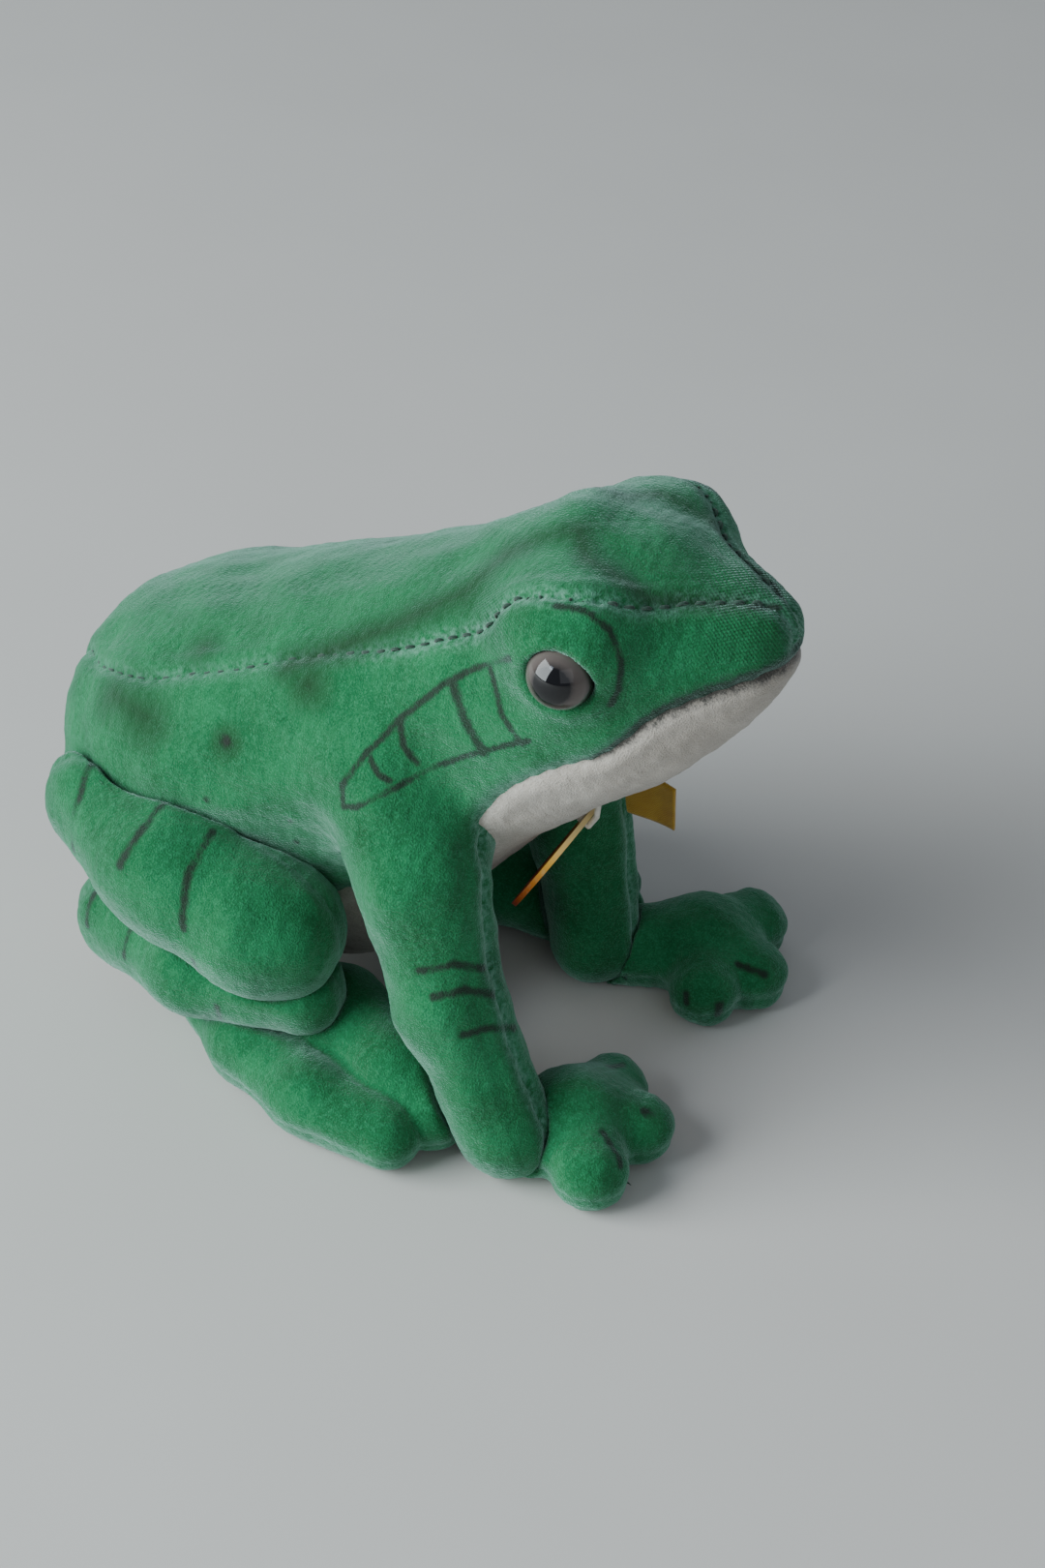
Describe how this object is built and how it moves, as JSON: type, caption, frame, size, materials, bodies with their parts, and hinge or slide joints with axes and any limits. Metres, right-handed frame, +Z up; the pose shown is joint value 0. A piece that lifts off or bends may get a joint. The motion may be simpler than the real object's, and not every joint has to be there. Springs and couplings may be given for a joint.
{
  "type": "stuffed toy frog",
  "caption": "Small sitting velvet frog, firmly stuffed, with glass eyes, sewn-on folded hind legs that give a little at the hips, and a round card tag under the throat.",
  "frame": {"origin": "centre of the frog's bounding box on the surface it sits on", "axes": "+X towards the nose, +Y to the frog's left, +Z up"},
  "size_m": [0.091, 0.066, 0.0771],
  "materials": {
    "green_velvet": "short cotton velvet, spring green with sprayed dark markings",
    "cream_velvet": "short cotton velvet, cream, slightly soiled",
    "stuffing": "packed fibre",
    "eye_glass": "clear polished",
    "iris_paint": "enamel on the back of the glass",
    "pupil_paint": "enamel on the back of the glass",
    "wire": "drawn wire",
    "green_thread": "dark sewing thread",
    "white_thread": "linen thread",
    "mustard_cloth": "folded woven tape",
    "tag_card": "printed card with plain colour rings"
  },
  "bodies": {
    "torso": {"back_panel": "green_velvet", "belly_panel": "cream_velvet", "body_stuffing": "stuffing", "eye_thread": "white_thread", "closing_stitch": "green_thread", "arm_label": "mustard_cloth", "side_panel_right": "green_velvet", "arm_inner_right": "green_velvet", "arm_stuffing_right": "stuffing", "hand_top_right": "green_velvet", "hand_sole_right": "green_velvet", "hand_stuffing_right": "stuffing", "eye_glass_right": "eye_glass", "eye_iris_right": "iris_paint", "eye_pupil_right": "pupil_paint", "eye_wire_right": "wire", "back_seam_thread_right": "green_thread", "side_panel_left": "green_velvet", "arm_inner_left": "green_velvet", "arm_stuffing_left": "stuffing", "hand_top_left": "green_velvet", "hand_sole_left": "green_velvet", "hand_stuffing_left": "stuffing", "eye_glass_left": "eye_glass", "eye_iris_left": "iris_paint", "eye_pupil_left": "pupil_paint", "eye_wire_left": "wire", "back_seam_thread_left": "green_thread"},
    "hind_leg_right": {"thigh_outer_right": "green_velvet", "thigh_inner_right": "green_velvet", "thigh_stuffing_right": "stuffing", "shin_outer_right": "green_velvet", "shin_inner_right": "green_velvet", "shin_stuffing_right": "stuffing", "foot_top_right": "green_velvet", "foot_sole_right": "green_velvet", "foot_stuffing_right": "stuffing", "hip_stitch_right": "green_thread"},
    "hind_leg_left": {"thigh_outer_left": "green_velvet", "thigh_inner_left": "green_velvet", "thigh_stuffing_left": "stuffing", "shin_outer_left": "green_velvet", "shin_inner_left": "green_velvet", "shin_stuffing_left": "stuffing", "foot_top_left": "green_velvet", "foot_sole_left": "green_velvet", "foot_stuffing_left": "stuffing", "hip_stitch_left": "green_thread"},
    "swing_tag": {"tag_disc": "tag_card", "tag_thread": "white_thread"}
  },
  "joints": [
    {"name": "hip_right", "type": "hinge", "parent": "torso", "child": "hind_leg_right", "pos_m": [-0.03299, -0.019, 0.029], "axis": [0, 0, -1], "range_deg": [0, 15], "stiffness_Nm_per_rad": 0.004},
    {"name": "hip_left", "type": "hinge", "parent": "torso", "child": "hind_leg_left", "pos_m": [-0.03299, 0.016, 0.029], "axis": [0, 0, 1], "range_deg": [0, 15], "stiffness_Nm_per_rad": 0.004},
    {"name": "tag_swing", "type": "hinge", "parent": "torso", "child": "swing_tag", "pos_m": [0.0235, -0.00199, 0.03959], "axis": [0, -1, 0], "range_deg": [-4, 50], "stiffness_Nm_per_rad": 0.0002}
  ]
}
